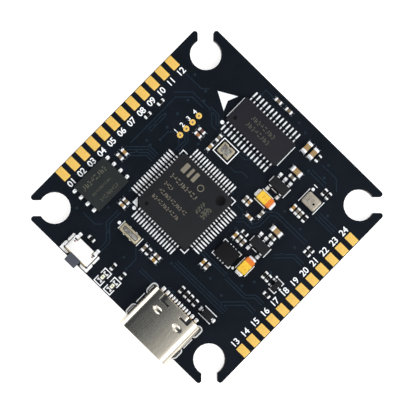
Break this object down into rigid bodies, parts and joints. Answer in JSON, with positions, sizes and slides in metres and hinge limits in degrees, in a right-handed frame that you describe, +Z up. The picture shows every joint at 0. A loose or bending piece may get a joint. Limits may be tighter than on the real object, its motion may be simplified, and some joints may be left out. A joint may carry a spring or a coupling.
{
  "type": "flight controller board",
  "caption": "Square flight controller board with notched corners for grommets, edge solder pads, flat chip packages, a USB receptacle and a side push button.",
  "frame": {"origin": "centre of the square mounting pattern, on the board's underside", "axes": "+Z up out of the component side, +Y the craft's forward direction (the printed arrow), +X its right-hand side; the USB mouth and the side button face -X"},
  "size_m": [0.0391, 0.0376, 0.0048],
  "materials": {
    "solder_mask": "dark blue-black solder mask over laminate, satin",
    "moulding": "charcoal epoxy moulding, fine matt grain",
    "tin": "tin plate and solder, bright",
    "steel": "nickel-plated drawn steel, soft shine",
    "ceramic": "fired ceramic, tan to brown",
    "tantalum_case": "yellow epoxy with an orange polarity band",
    "housing_plastic": "black nylon",
    "button_plastic": "blue-grey nylon",
    "lens": "pale yellow clear resin",
    "gold": "gilt copper pads, soft shine",
    "silkscreen": "white legend ink"
  },
  "bodies": {
    "board": {"circuit_board": "solder_mask", "processor_body": "moulding", "overlay_chip_body": "moulding", "regulator_front_body": "moulding", "regulator_rear_body": "moulding", "diode_body": "moulding", "transistor_body": "moulding", "flash_memory": "moulding", "motion_sensor": "moulding", "processor_leads": "tin", "overlay_chip_leads": "tin", "regulator_front_leads": "tin", "regulator_rear_leads": "tin", "diode_leads": "tin", "transistor_leads": "tin", "tantalum_left_anode": "tin", "tantalum_left_cathode": "tin", "tantalum_right_anode": "tin", "tantalum_right_cathode": "tin", "usb_contacts": "tin", "switch_terminal_1": "tin", "switch_terminal_2": "tin", "usb_shell": "steel", "switch_cover": "steel", "switch_dome": "steel", "barometer_lid": "steel", "crystal_lid": "steel", "resonator_lid": "steel", "barometer_base": "ceramic", "crystal_base": "ceramic", "resonator_base": "ceramic", "large_capacitor_01": "ceramic", "large_capacitor_02": "ceramic", "large_capacitor_03": "ceramic", "large_capacitor_04": "ceramic", "small_capacitor_01": "ceramic", "small_capacitor_02": "ceramic", "small_capacitor_03": "ceramic", "small_capacitor_04": "ceramic", "small_capacitor_05": "ceramic", "small_capacitor_06": "ceramic", "small_capacitor_07": "ceramic", "small_capacitor_08": "ceramic", "small_capacitor_09": "ceramic", "small_capacitor_10": "ceramic", "small_capacitor_11": "ceramic", "small_capacitor_12": "ceramic", "small_capacitor_13": "ceramic", "small_capacitor_14": "ceramic", "small_capacitor_15": "ceramic", "small_capacitor_16": "ceramic", "small_capacitor_17": "ceramic", "small_capacitor_18": "ceramic", "tantalum_left_body": "tantalum_case", "tantalum_right_body": "tantalum_case", "usb_insulator": "housing_plastic", "switch_base": "housing_plastic", "indicator_light_01": "lens", "indicator_light_02": "lens"},
    "plunger": {"switch_plunger": "button_plastic"}
  },
  "joints": [
    {"name": "button_press", "type": "slide", "parent": "board", "child": "plunger", "axis": [1, 0, 0], "range_m": [0, 0.00025], "stiffness_N_per_m": 400, "deforming": ["switch_dome"]}
  ]
}
